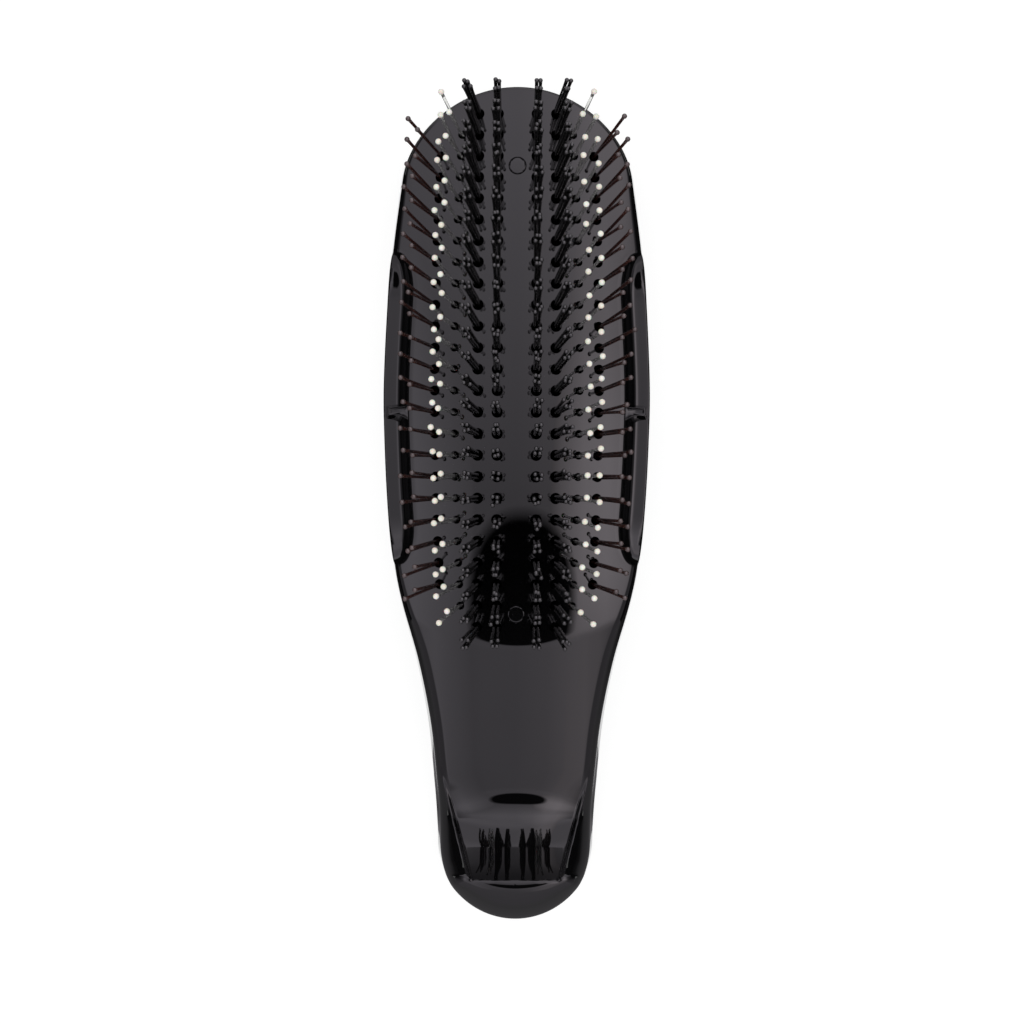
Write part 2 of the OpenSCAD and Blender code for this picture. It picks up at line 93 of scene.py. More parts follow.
def soft_min(a, b, k):
    h = np.maximum(k - np.abs(a - b), 0) / k
    return np.minimum(a, b) - h * h * k / 4


def smooth_max(a, b, k):
    return -soft_min(-a, -b, k)


def side_share(t):
    last = len(SIDE) - 1
    x, v = SIDE[:, 0], SIDE[:, 1]
    lo, hi = np.maximum(np.arange(last + 1) - 1, 0), np.minimum(np.arange(last + 1) + 1, last)
    slope = (v[hi] - v[lo]) / (x[hi] - x[lo])
    i = np.clip(np.searchsorted(x, t, side="right") - 1, 0, last - 1)
    w = x[i + 1] - x[i]
    s = (t - x[i]) / w
    s2, s3 = s * s, s * s * s
    return ((2 * s3 - 3 * s2 + 1) * v[i] + (s3 - 2 * s2 + s) * w * slope[i]
            + (3 * s2 - 2 * s3) * v[i + 1] + (s3 - s2) * w * slope[i + 1])


def half_w(y):
    return lerp(TAIL_W, BODY_W, side_share(y / BODY_LEN + 0.5)) / 2


def outline(u):
    u = np.asarray(u, float)
    tail = np.radians(90 * np.minimum(u, 1))
    head = np.radians(90 * np.maximum(u - 2, 0))
    side_y = lerp(TAIL_Y, HEAD_Y, np.clip(u - 1, 0, 1)) + HEAD_END * np.sin(head)
    x = np.where(u < 1, TAIL_W / 2 * np.sin(tail), half_w(side_y) * np.cos(head))
    y = np.where(u < 1, TAIL_Y - TAIL_W / 2 * np.cos(tail), side_y)
    return x, y


OUTLINE_STEP = 0.002


def place(u, d):
    """The point at a distance d in from the outline."""
    x, y = outline(u)
    (x1, y1), (x0, y0) = outline(u + OUTLINE_STEP), outline(u - OUTLINE_STEP)
    tx, ty = x1 - x0, y1 - y0
    n = np.hypot(tx, ty)
    return x - d * ty / n, y + d * tx / n


def u_at(y):
    return 1 + (y - TAIL_Y) / (HEAD_Y - TAIL_Y)


def head_z(x, y):
    r = np.where(y > CREST_Y, ARCH_R, FALL_R)
    return FACE_H - (y - CREST_Y) ** 2 / (2 * r) - x * x / (2 * CROWN_R)


def bowl(s, r):
    return r - np.sqrt(np.maximum(r * r - s * s, 0))


HANDLE_TURN = math.atan(HANDLE_SLOPE)
HANDLE_FOOT = SCOOP_Y + SCOOP_R * math.sin(HANDLE_TURN)
SCOOP_H = (float(head_z(0.0, CREASE_Y)) - HANDLE_SLOPE * (CREASE_Y - HANDLE_FOOT)
           - SCOOP_R * (1 - math.cos(HANDLE_TURN)))
# The climb on to the lip: radius and slope at the end of each arc, and then straight on
CLIMB_ARCS = [(10.3, math.radians(31.7)), (19.8, math.radians(45.2)), (110.0, math.radians(47.6)),
              (26.0, math.radians(56.0))]


def climb(s):
    height, start, turn = 0 * s, 0.0, 0.0
    for r, end_turn in CLIMB_ARCS:
        run = r * (math.sin(end_turn) - math.sin(turn))
        c = np.clip(s - start, 0, run)
        lead = r * math.sin(turn)
        height = height + bowl(c + lead, r) - bowl(np.array(lead), r)
        start, turn = start + run, end_turn
    return height + np.maximum(s - start, 0) * math.tan(turn)


# The scoop is a trough with steep sides, which draw in towards the lip
TROUGH_W, TROUGH_TURN, LIP_BACK, LIP_SAG, LIP_Y = 11.8, 0.29, 7.5, 1.6, -80.3
# Where a change starts, ahead of the scoop's middle, and how long it is towards the tail
RIDGE_FROM, RIDGE_FADE = 11.0, 19.0
SCOOP_CROWN_R, SCOOP_CROWN_FROM, SCOOP_CROWN_FADE = 33.0, 7.0, 10.0
CLIMB_CROWN_R, CLIMB_CROWN_FROM, CLIMB_CROWN_FADE = 48.0, -3.0, 6.0
# The lip rolls over at its crest and falls a little to the tail
LIP_ROLL, LIP_ROLL_R, LIP_FALL, LIP_FALL_RUN, LIP_SOFT = 4.5, 8.0, 0.1, 9.0, 0.15
# The share of the way from crease to scoop at which the handle alone makes the top
HANDLE_ONLY = 0.45
# Up to RIM_U on the outline the rim runs behind the lip. From RIM_FROM ahead of the scoop towards the
# tail, the round of the edge reaches in to the rim.
RIM_U, RIM_FROM, RIM_SOFT = 0.93, 14.0, 0.8
# The edge is crisper round the head, and changes over ROUND_RUN there and at the grip
HEAD_ROUND, HEAD_ROUND_Y, ROUND_RUN = 0.8, 56.0, 22.0


def ridge_z(x, y):
    beside = np.abs(x) - (TROUGH_W + TROUGH_TURN * (y - TAIL_Y))
    return RIDGE_H * ease(beside / RIDGE_RUN + 1) * ease((SCOOP_Y + RIDGE_FROM - y) / RIDGE_FADE)


def handle_z(x, y):
    low = climb(SCOOP_Y - y)
    turn = bowl(np.clip(y - SCOOP_Y, 0, HANDLE_FOOT - SCOOP_Y), SCOOP_R)
    run = turn + np.maximum(y - HANDLE_FOOT, 0) * HANDLE_SLOPE
    across = lerp(2 * HANDLE_R, 2 * SCOOP_CROWN_R,
                  ease((SCOOP_Y + SCOOP_CROWN_FROM - y) / SCOOP_CROWN_FADE))
    across = lerp(across, 2 * CLIMB_CROWN_R, ease((SCOOP_Y + CLIMB_CROWN_FROM - y) / CLIMB_CROWN_FADE))
    return SCOOP_H - x * x / across + ridge_z(x, y) + np.where(y < SCOOP_Y, low, run)


def top_z(x, y):
    x, y = np.asarray(x, float), np.asarray(y, float)
    handle = handle_z(x, y)
    lip = (LIP_H - x * x / (2 * LIP_CROWN_R) - np.clip(y - LIP_Y, 0, LIP_ROLL) ** 2 / (2 * LIP_ROLL_R)
           - np.clip(LIP_Y - y, 0, LIP_FALL_RUN) * LIP_FALL)
    return np.where(y > lerp(CREASE_Y, SCOOP_Y, HANDLE_ONLY),
                    soft_min(head_z(x, y), handle, CREASE_SOFT), soft_min(lip, handle, LIP_SOFT))


def rim_in(u):
    """How far in from the outline the edge of the scoop and lip runs."""
    x, y = outline(u)
    (nx, ny) = np.array(place(u, 1.0)) - np.array([x, y])
    side = (TROUGH_W + TROUGH_TURN * (y - TAIL_Y) - x) / (nx - TROUGH_TURN * ny)
    turn = np.radians(90 * np.minimum(u, RIM_U))
    lip = TAIL_W / 2 - (LIP_BACK - LIP_SAG * np.sin(turn) ** 2) / np.cos(turn)
    return np.where(u < RIM_U, smooth_max(side, lip, RIM_SOFT), side)


def round_at(u):
    """The radius of the edge round the face, the grip, and the scoop and lip."""
    y = outline(u)[1]
    head = lerp(FACE_ROUND, HEAD_ROUND, ease((y - HEAD_ROUND_Y) / ROUND_RUN))
    grip = lerp(head, GRIP_ROUND, ease((GROOVE_LO_Y - y) / ROUND_RUN))
    return np.where(y < SCOOP_Y + RIM_FROM, smooth_max(grip, rim_in(u) - DRAFT, RIM_SOFT), grip)


def edge_drop(d, r, power):
    e = np.clip(1 - (d - DRAFT) / r, 0, 1)
    return r - r * (1 - e ** power) ** (1 / power)


def groove_share(y):
    t = np.clip(np.minimum(y - GROOVE_LO_Y, GROOVE_HI_Y - y) / GROOVE_END, 0, 1)
    return np.sqrt(1 - (1 - t) ** 2)


def top_normal(x, y):
    h = 0.01
    dx = (top_z(x + h, y) - top_z(x - h, y)) / (2 * h)
    dy = (top_z(x, y + h) - top_z(x, y - h)) / (2 * h)
    return Vector((-float(dx), -float(dy), 1)).normalized()


# Meshes

def new_mesh_object(name, points, faces, smooth=True):
    mesh = bpy.data.meshes.new(name)
    mesh.from_pydata([tuple(p) for p in points], [], faces)
    mesh.polygons.foreach_set("use_smooth", [smooth] * len(mesh.polygons))
    mesh.update()
    ob = bpy.data.objects.new(name, mesh)
    bpy.context.scene.collection.objects.link(ob)
    return ob


def outward(ob):
    bm = bmesh.new()
    bm.from_mesh(ob.data)
    bmesh.ops.recalc_face_normals(bm, faces=bm.faces)
    bm.to_mesh(ob.data)
    bm.free()
    return ob


def closed_skin(name, half):
    """A closed skin from half sections: half is rows x points x 3, from the middle to the middle, and
    is mirrored in x. Points that fall together are joined."""
    mirror = half[:, -2:0:-1].copy()
    mirror[:, :, 0] *= -1
    rings = np.concatenate([half, mirror], axis=1)
    rows, size = rings.shape[:2]
    flat = rings.reshape(-1, 3)
    _, first, number = np.unique(np.round(flat, 6), axis=0, return_index=True, return_inverse=True)
    number = number.reshape(-1)
    r, c = np.meshgrid(np.arange(rows - 1), np.arange(size), indexing="ij")
    n = (c + 1) % size
    quads = np.stack([(r + 1) * size + c, (r + 1) * size + n, r * size + n, r * size + c], -1)
    faces = []
    for q in number[quads.reshape(-1, 4)]:
        kept = [int(v) for i, v in enumerate(q) if v != q[i - 1]]
        if len(kept) > 2 and len(set(kept)) == len(kept):
            faces.append(kept)
    return outward(new_mesh_object(name, flat[first] * MM, faces))


def tube_faces(rings, size):
    """The faces of a stack of rings with size points each, closed at both ends."""
    faces = []
    for low, high in ((k * size, (k + 1) * size) for k in range(rings - 1)):
        faces += [[low + i, low + (i + 1) % size, high + (i + 1) % size, high + i] for i in range(size)]
    faces.append(list(reversed(range(size))))
    faces.append([(rings - 1) * size + i for i in range(size)])
    return faces


def spread(*parts):
    """Samples along an edge: (from, to, number) for each stretch, the joins counted once."""
    out = [parts[0][0]]
    for a, b, n in parts:
        out += [lerp(a, b, (i + 1) / n) for i in range(n)]
    return np.array(out)


# Rows, closer at the ends of the grooves and of the body: how many there are in each stretch
TAIL_ROWS, GRIP_ROWS, GROOVE_END_ROWS, GROOVE_ROWS, SHOULDER_ROWS, HEAD_ROWS = 64, 120, 12, 54, 18, 44
steps = [(i / GROOVE_END_ROWS) ** 2 * GROOVE_END for i in range(1, GROOVE_END_ROWS + 1)]
ROWS = np.concatenate([
    [0], [i / TAIL_ROWS for i in range(1, TAIL_ROWS + 1)],
    [u_at(y) for y in np.linspace(TAIL_Y, GROOVE_LO_Y, GRIP_ROWS)[1:]],
    [u_at(GROOVE_LO_Y + s) for s in steps],
    [u_at(y) for y in np.linspace(GROOVE_LO_Y + GROOVE_END, GROOVE_HI_Y - GROOVE_END, GROOVE_ROWS)[1:]],
    [u_at(GROOVE_HI_Y - s) for s in reversed(steps[:-1])], [u_at(GROOVE_HI_Y)],
    [u_at(y) for y in np.linspace(GROOVE_HI_Y, HEAD_Y, SHOULDER_ROWS)[1:]],
    [2 + i / HEAD_ROWS for i in range(1, HEAD_ROWS + 1)]])

# Places on a section, from 0 at the joint: the groove's lower lip starts, the lip and the wall end,
# the groove's ledge ends, its cove ends, and the face starts
LIP_C, WALL_C, LEDGE_C, COVE_C, FACE_C = 1, 3, 3.75, 6, 8
# How round the edge is, 2 for a circle: at the face, round the scoop and at the lip
EDGE_POWER, SCOOP_POWER, LIP_POWER = 2.0, 1.5, 1.75
SCOOP_POWER_FROM, SCOOP_POWER_FADE, LIP_POWER_FADE = 10.0, 16.0, 4.0
# Points across the face and the joint. Those of the face draw near to the edge beside the scoop.
TOP_POINTS, JOINT_POINTS, CROWDING, CROWDING_FADE = 33, 7, 1.7, 8.0


def quarter_turn(c, start, end):
    """An angle that turns by 90 degrees between two places on a section."""
    return np.radians(90 / (end - start) * np.clip(c - start, 0, end - start))


def joint_plane(u, start, end):
    """The flat face at the joint, from share start to share end of the way out."""
    x, y = place(u, SEAM + np.zeros((1, JOINT_POINTS)))
    k = np.linspace(start, end, JOINT_POINTS)[None, :]
    return np.stack([x * k, y + 0 * k, JOINT_H + 0 * (x * k)], -1)


def front_sections():
    """From the middle of the face, over the edge and down the side wall, to the middle of the joint."""
    u = ROWS[:, None]
    c = spread((FACE_C, COVE_C, 10), (COVE_C, WALL_C, 12), (WALL_C, LIP_C, 8), (LIP_C, 0, 3))[None, :]
    y = outline(u)[1]
    r = round_at(u)
    power = lerp(EDGE_POWER, SCOOP_POWER, ease((SCOOP_Y + SCOOP_POWER_FROM - y) / SCOOP_POWER_FADE))
    power = lerp(power, LIP_POWER, ease((TAIL_Y - LIP_POWER_FADE - y) / LIP_POWER_FADE))
    on_wall = c < WALL_C
    over = quarter_turn(c, WALL_C, FACE_C)
    d_plain = np.where(on_wall, DRAFT * c / WALL_C, DRAFT + r * (1 - np.cos(over)))
    px, py = place(u, d_plain)
    wx, wy = place(u, DRAFT + 0 * c)
    wall_z = top_z(wx, wy) - r
    z_plain = np.where(on_wall, lerp(JOINT_H, wall_z, c / WALL_C),
                       top_z(px, py) - edge_drop(d_plain, r, power))
    gx, gy = place(u, GROOVE_IN + GROOVE_EDGE + 0 * c)
    low = top_z(gx, gy) - GROOVE_EDGE
    ledge = np.clip((c - WALL_C) / (LEDGE_C - WALL_C), 0, 1)
    cove = quarter_turn(c, LEDGE_C, COVE_C)
    lip = quarter_turn(c, LIP_C, WALL_C)
    edge = quarter_turn(c, COVE_C, FACE_C)
    shelf = lerp(GROOVE_LIP, GROOVE_LEDGE, ledge)
    d_cove = np.where(on_wall, GROOVE_LIP * (1 - np.cos(lip)),
                      np.where(c < COVE_C, lerp(shelf, GROOVE_IN, np.sin(cove)),
                               GROOVE_IN + GROOVE_EDGE * (1 - np.cos(edge))))
    z_cove = np.where(c < LIP_C, lerp(JOINT_H, GROOVE_H - GROOVE_LIP, c),
                      np.where(on_wall, GROOVE_H - GROOVE_LIP + GROOVE_LIP * np.sin(lip),
                               np.where(c < COVE_C, lerp(low, GROOVE_H, np.cos(cove)),
                                        low + GROOVE_EDGE * np.sin(edge))))
    s = groove_share(y)
    d, z = lerp(d_plain, d_cove, s), lerp(z_plain, z_cove, s)
    z[:, -1] += SEAM
    ex, ey = place(u, d)
    even = np.linspace(0, 1, TOP_POINTS)[None, :-1]
    across = lerp(even, 1 - (1 - even) ** CROWDING, ease((SCOOP_Y + RIM_FROM - y) / CROWDING_FADE))
    tx = ex[:, :1] * across
    ty = ey[:, :1] + 0 * across
    top = np.stack([tx, ty, top_z(tx, ty)], -1)
    return np.concatenate([top, np.stack([ex, ey, z], -1), joint_plane(u, 1, 0)], axis=1)


# The back: how its resting flat blends in, and the points round its edge and across it
REST_SOFT, BACK_FIRST_DEG, BACK_EDGE_POINTS, BACK_POINTS = 0.12, 4, 23, 15


def low_z(x, y):
    v = (y - REST_Y) ** 2 / (2 * BACK_R) + x * x / (2 * BACK_CROWN_R) - REST_CUT
    return -soft_min(-v, 0 * v, REST_SOFT) * (v > -REST_SOFT)


def back_sections():
    """From the middle of the joint, round the edge, to the middle of the back."""
    u = ROWS[:, None]
    a = np.radians(np.concatenate([[0], np.linspace(BACK_FIRST_DEG, 90, BACK_EDGE_POINTS)]))[None, :]
    px, py = place(u, BACK_ROUND * (1 - np.cos(a)))
    z = JOINT_H - (JOINT_H - low_z(px, py)) * np.sin(a)
    z[:, 0] -= SEAM
    k = np.linspace(1, 0, BACK_POINTS)[None, 1:]
    bx, by = px[:, -1:] * k, py[:, -1:] + 0 * k
    under = np.stack([bx, by, low_z(bx, by)], -1)
    return np.concatenate([joint_plane(u, 0, 1), np.stack([px, py, z], -1), under], axis=1)


def lathe_points(origin, axis, profile, sides):
    """Rings of (radius, height) about an axis, as points and faces, closed at both ends."""
    axis = axis.normalized()
    side = Vector((1, 0, 0)) if abs(axis.x) < 0.8 else Vector((0, 1, 0))
    side = (side - axis * side.dot(axis)).normalized()
    up = axis.cross(side)
    points = [origin + axis * h + side * (r * math.cos(2 * math.pi * i / sides))
              + up * (r * math.sin(2 * math.pi * i / sides)) for r, h in profile for i in range(sides)]
    return points, tube_faces(len(profile), sides)


def lathe_on_face(x, y, profile, sides):
    """A lathed form square to the face. Its profile is in mm, with height 0 at the face."""
    origin = Vector((x, y, float(top_z(x, y)))) * MM
    return lathe_points(origin, top_normal(x, y), [(r * MM, h * MM) for r, h in profile], sides)


def join_forms(forms):
    points, faces = [], []
    for p, f in forms:
        start = len(points)
        points += list(p)
        faces += [[start + v for v in face] for face in f]
    return points, faces


# Where the tufts stand. Each column has its place out from the middle, and its first and last row.

COLUMNS = {"inner": (1, 0, 24), "outer": (2, 0, 24), "clear": (3, 1, 23), "brown": (4, 2, 22)}
MID_ROW = 12
BLACK_PLACES = 2


def row_y(k):
    return TIP_Y - FIRST_ROW_IN - k * ROW_PITCH


def column_x(place_out, y):
    s = (y - row_y(MID_ROW)) / (MID_ROW * ROW_PITCH)
    return place_out * COLUMN_PITCH + (BOW * (1 - 2 * s * s) if place_out > BLACK_PLACES else 0)


def tuft_places(column):
    place_out, first, last = COLUMNS[column]
    return [(k, column_x(place_out, row_y(k)), row_y(k)) for k in range(first, last + 1)]


# The front housing, with a deep tapered hole for each tuft and a bore for each plug

# Profiles from the bottom up: (radius over the hole's own, height over the face)
HOLE_R = {"inner": 1.0, "outer": 1.0, "clear": 0.68, "brown": 0.88}
HOLE_BOTTOM = (0.05, -3.4)
HOLE_WALL = [(-0.2, -1.9), (0, -1.0), (0, -0.22), (0.025, -0.11), (0.085, -0.04), (0.17, -0.012),
             (0.6, 0.3)]
PLUG_GAP = 0.06
BORE_WALL = [(0, -PLUG_T * 1.4), (0, -0.1), (0.6, 0.5)]
PLUG_WALL = [(0, -PLUG_T), (0, -0.16), (-0.05, -0.05), (-0.14, -0.012), (-0.3, 0)]
PLUG_TOP = [(0.6, 0.004), (0.02, 0.005)]
HOLE_SIDES, PLUG_SIDES = 24, 48
# How near a point of the cut body lies to the uncut skin, in m, and how alike two normals are
ON_SKIN, LIKE_SKIN, LIKE_FACE = 2e-6, 0.8, 0.75


def widened(r, wall):
    return [(r + more, h) for more, h in wall]


def cut_holes(body):
    points = [v.co.copy() for v in body.data.vertices]
    normals = [v.normal.copy() for v in body.data.vertices]
    polygons = [tuple(p.vertices) for p in body.data.polygons]
    forms = []
    for column in COLUMNS:
        profile = [HOLE_BOTTOM] + widened(HOLE_R[column], HOLE_WALL)
        forms += [lathe_on_face(sign * x, y, profile, HOLE_SIDES)
                  for _, x, y in tuft_places(column) for sign in (1, -1)]
    forms += [lathe_on_face(0, y, widened(PLUG_D / 2 + PLUG_GAP, BORE_WALL), PLUG_SIDES) for y in SCREW_YS]
    cutter = new_mesh_object("cutter", *join_forms(forms))
    mod = body.modifiers.new("holes", "BOOLEAN")
    mod.operation, mod.solver, mod.object = "DIFFERENCE", "MANIFOLD", cutter
    shaped = bpy.data.meshes.new_from_object(body.evaluated_get(bpy.context.evaluated_depsgraph_get()))
    body.modifiers.clear()
    body.data = shaped
    bpy.data.objects.remove(cutter)
    keep_skin_normals(shaped, points, normals, polygons)


def keep_skin_normals(mesh, points, normals, polygons):
    """The skin keeps the smooth normals that it had before the cuts, and the cuts get their own."""
    tree = BVHTree.FromPolygons(points, polygons)
    on_skin, skin_normal = [], []
    for v in mesh.vertices:
        hit, _, index, distance = tree.find_nearest(v.co)
        on_skin.append(distance < ON_SKIN)
        n = Vector()
        for i in polygons[index]:
            n += normals[i] * (1 / ((hit - points[i]).length + 1e-9))
        skin_normal.append(n.normalized())
    around = {}
    for p in mesh.polygons:
        for v in p.vertices:
            around.setdefault(v, []).append(p.index)
    corner_normals = [Vector() for _ in mesh.loops]
    for p in mesh.polygons:
        is_skin = all(on_skin[v] and p.normal.dot(skin_normal[v]) > LIKE_SKIN for v in p.vertices)
        for li in p.loop_indices:
            v = mesh.loops[li].vertex_index
            if is_skin:
                corner_normals[li] = skin_normal[v]
                continue
            n = Vector()
            for q in around[v]:
                other = mesh.polygons[q]
                if other.normal.dot(p.normal) > LIKE_FACE:
                    n += other.normal * other.area
            corner_normals[li] = n.normalized() if n.length > 0 else p.normal
    mesh.polygons.foreach_set("use_smooth", [True] * len(mesh.polygons))
    mesh.normals_split_custom_set([tuple(n) for n in corner_normals])
    mesh.update()


front = closed_skin("front_housing", front_sections())
cut_holes(front)
back = closed_skin("back_housing", back_sections())


# The ribs that cross the finger grooves, and the flush plugs

def rounded(points, times=2):
    for _ in range(times):
        cut = []
        for a, b in zip(points, points[1:] + points[:1]):
            cut += [(lerp(a[0], b[0], 0.25), lerp(a[1], b[1], 0.25)),
                    (lerp(a[0], b[0], 0.75), lerp(a[1], b[1], 0.75))]
        points = cut
    return points


# A rib's outline and middle, as distance in from the side and place along the body
RIB_PLAN = rounded([
    (1.15, 18.1), (1.1, 19.0), (1.1, 19.8), (2.2, 19.8), (4.4, 19.76), (5.0, 20.1), (5.4, 20.5),
    (7.2, 20.5), (7.2, 16.7), (5.5, 17.0), (4.7, 17.55), (3.8, 17.98), (2.9, 18.18), (2.0, 18.12)])
RIB_MIDDLE = (4.6, 18.95)
# Rings over the top, as (share of the outline, drop), and down the sides, as (growth, drop)
RIB_TOP = ((0.02, 0.6), (0.3, 0.56), (0.55, 0.45), (0.75, 0.28), (0.9, 0.1), (0.96, 0.02), (1.0, 0.06))
RIB_SIDES = ((0.06, 0.16), (0.1, 0.5), (0.35, 3.0), (0.7, 5.5), (1.3, 7.6), (2.2, 8.8))
# The crown lies below the face and tilts down to the side, less so further down. The foot is sunk.
RIB_DROP, RIB_TILT, RIB_ROOT_IN, RIB_TILT_FADE, RIB_SUNK = 0.35, 0.22, 7.2, 5, 1.5
# How much of the growth goes outwards, and along the body on the head's and the tail's side
RIB_GROW_OUT, RIB_GROW_HEAD, RIB_GROW_TAIL = 0.4, 0.5, 0.8


def rib_form(sign):
    edge = float(half_w(RIB_Y))
    crown = float(top_z(edge - GROOVE_IN - GROOVE_EDGE, RIB_Y)) - RIB_DROP
    rings = []
    for share, drop in RIB_TOP:
        ring = [(lerp(RIB_MIDDLE[0], a, share), lerp(RIB_MIDDLE[1], y, share)) for a, y in RIB_PLAN]
        rings.append([(a, y, crown - drop - RIB_TILT * (RIB_ROOT_IN - a)) for a, y in ring])
    for grow, drop in RIB_SIDES:
        ring = []
        for a, y in RIB_PLAN:
            along = (y - RIB_MIDDLE[1]) * 2
            turn = along / math.hypot(a - RIB_MIDDLE[0], along)
            tilt = RIB_TILT * (RIB_ROOT_IN - a) * max(0, 1 - drop / RIB_TILT_FADE)
            ring.append((a - RIB_GROW_OUT * grow * (a < RIB_MIDDLE[0]),
                         y + grow * turn * (RIB_GROW_HEAD if turn > 0 else RIB_GROW_TAIL),
                         max(crown - drop - tilt, GROOVE_H - RIB_SUNK)))
        rings.append(ring)
    points = [Vector((sign * (edge - a), y, z)) * MM for ring in rings for a, y, z in ring]
    return points, tube_faces(len(rings), len(RIB_PLAN))


ribs = outward(new_mesh_object("finger_ribs", *join_forms([rib_form(1), rib_form(-1)])))
plug_profile = widened(PLUG_D / 2, PLUG_WALL) + PLUG_TOP
plugs = outward(new_mesh_object("face_plugs", *join_forms(
    [lathe_on_face(0, y, plug_profile, PLUG_SIDES) for y in SCREW_YS])))


# Pins: a filament with a ball at its end, slightly bent and never quite alike

# Points round a pin, and how far below the face it starts
PIN_SIDES, PIN_ROOT = 10, 2.6
# Places along a shaft above the face, how much wider it is at each, the root's first, and the
# turns up a ball
SHAFT_SHARES = (0.2, 0.45, 0.7, 0.88, 1.0)
SHAFT_SWELL = (1, 1, 1, 1, 1.02, 1.12)
BALL_TURNS = [math.radians(-76 + 152 * i / 8) for i in range(9)]
# The pins of a hole: (out, along, share), where share is 0 for the pin that leans most
BLACK_SPOTS = ((0.36, 0.36, 0.0), (-0.36, 0.36, 0.1), (0.36, -0.36, 0.9), (-0.36, -0.36, 1.0))
OTHER_SPOTS = ((0.25, 0.2, 0.0), (-0.25, -0.2, 1.0))
BLACK_SWELL, OTHER_SWELL = 1.2, 1.08
BALL_D = {"inner": 0.96, "outer": 0.96, "clear": 1.28, "brown": 1.12}
# How much a pin's lean out, lean along, bend and length vary by themselves
LOOSE = {"inner": 0.13, "outer": 0.13, "clear": 0.16, "brown": 0.24}
LOOSE_ALONG, LOOSE_BEND_OUT, LOOSE_BEND_ALONG, LOOSE_LEN = 1.1, 0.13, 0.16, 0.006
# How the pins of a hole fan apart, and what keeps the first row inside the head's tip
FAN_OUT, FAN_ALONG, TIP_ROOM, FIRST_BEND, BEND_MOST = 0.25, 0.2, 0.72, 0.1, 1

# How far the pins of a hole lean outwards, on the left and on the right: first pin, second pin. Black
# tufts fan out a little about the middle of these.
SIDE_LEAN = {"inner": ((0.3, 0.2), (0.3, 0.2)), "outer": ((2.5, 2.2), (2.4, 2.1)),
             "clear": ((4.05, 3.15), (4.1, 1.95)), "brown": ((6.45, 5.2), (6.3, 5.0))}
# How pins lean along the body: slope over the distance from the crest, where it fades, and the second
# pin's share of it
END_LEAN = {"inner": (0.108, 120.0, 0.88), "outer": (0.108, 120.0, 0.88),
            "clear": (0.107, 900.0, 0.43), "brown": (0.107, 400.0, 0.55)}


def pin_lean(column, sign, y, share):
    """How far a pin leans outwards and along the body. share is 0 for the pin that leans most."""
    s = y - CREST_Y
    slope, fade, second = END_LEAN[column]
    end = slope * s * (1 - s * s / fade ** 2) * lerp(1, second, share)
    first, other = SIDE_LEAN[column][0 if sign < 0 else 1]
    return lerp(first, other, share), end


def ring_stack(centres, radii):
    points = []
    for i, (c, r) in enumerate(zip(centres, radii)):
        axis = (centres[min(i + 1, len(centres) - 1)] - centres[max(i - 1, 0)]).normalized()
        side = Vector((0, 1, 0))
        side = (side - axis * side.dot(axis)).normalized()
        up = axis.cross(side)
        for k in range(PIN_SIDES):
            a = 2 * math.pi * k / PIN_SIDES
            points.append(c + (side * math.cos(a) + up * math.sin(a)) * r)
    return points, tube_faces(len(centres), PIN_SIDES)


def pin_forms(root, lean, length, thick, ball_d, bend):
    """Shaft and ball of one pin, in mm. root is on the face, lean the tip's shift in x and y."""
    rise = math.sqrt(max(length ** 2 - lean[0] ** 2 - lean[1] ** 2, 1))
    axis = Vector((lean[0], lean[1], rise)).normalized()
    shaft_len = length - ball_d / 2
    bend_vec = Vector((bend[0], bend[1], 0))
    bend_vec -= axis * bend_vec.dot(axis)
    centres = [(root + axis * (shaft_len * t) + bend_vec * max(t, 0) ** 2)
               for t in (-PIN_ROOT / shaft_len, *SHAFT_SHARES)]
    shaft = ring_stack([c * MM for c in centres], [thick / 2 * swell * MM for swell in SHAFT_SWELL])
    end = (centres[-1] - centres[-2]).normalized()
    ball = ring_stack([(centres[-1] + end * (ball_d / 2 * math.sin(t))) * MM for t in BALL_TURNS],
                      [ball_d / 2 * math.cos(t) * MM for t in BALL_TURNS])
    return shaft, ball


def tuft_pins(column, sign):
    black = COLUMNS[column][0] <= BLACK_PLACES
    spots, swell = (BLACK_SPOTS, BLACK_SWELL) if black else (OTHER_SPOTS, OTHER_SWELL)
    shafts, balls = [], []
    for k, x, y in tuft_places(column):
        to_end = 1 if y > CREST_Y else -1
        for out, along, share in spots:
            along *= to_end
            px, py = x + out, y + along
            side, end = pin_lean(column, sign, y, share)
            side += out * (FAN_OUT if black else 0) + rng.gauss(0, LOOSE[column])
            end += along * FAN_ALONG + rng.gauss(0, LOOSE[column] * LOOSE_ALONG)
            end = min(end, TIP_Y - py - TIP_ROOM)
            bend = (rng.gauss(0, LOOSE_BEND_OUT),
                    min(rng.gauss(0, LOOSE_BEND_ALONG), FIRST_BEND if k < 1 else BEND_MOST))
            root = Vector((sign * px, py, float(top_z(px, py))))
            length = PIN_LEN * (1 - abs(rng.gauss(0, LOOSE_LEN)))
            shaft, ball = pin_forms(root, (sign * side, end), length, PIN_D * swell, BALL_D[column], bend)
            shafts.append(shaft)
            balls.append(ball)
    return shafts, balls


# The balls of the black and brown pins take lighter copies of their shafts' nylon, as painted highlight.
# The clear pins' balls are cream.
TIP_FINISH = {"black": "black_tip_painted_highlight", "clear": "cream", "brown": "brown_tip_painted_highlight"}
pin_pieces = []
for column, kind in (("inner", "black"), ("outer", "black"), ("clear", "clear"), ("brown", "brown")):
    for sign, hand in ((-1, "left"), (1, "right")):
        shafts, balls = tuft_pins(column, sign)
        where = f"{column}_{hand}" if kind == "black" else hand
        for what, forms, finish in (("pins", shafts, kind), ("tips", balls, TIP_FINISH[kind])):
            piece = outward(new_mesh_object(f"{kind}_{what}_{where}", *join_forms(forms)))
            pin_pieces.append((piece, f"{kind}_tufts_{where}", finish))


# Materials

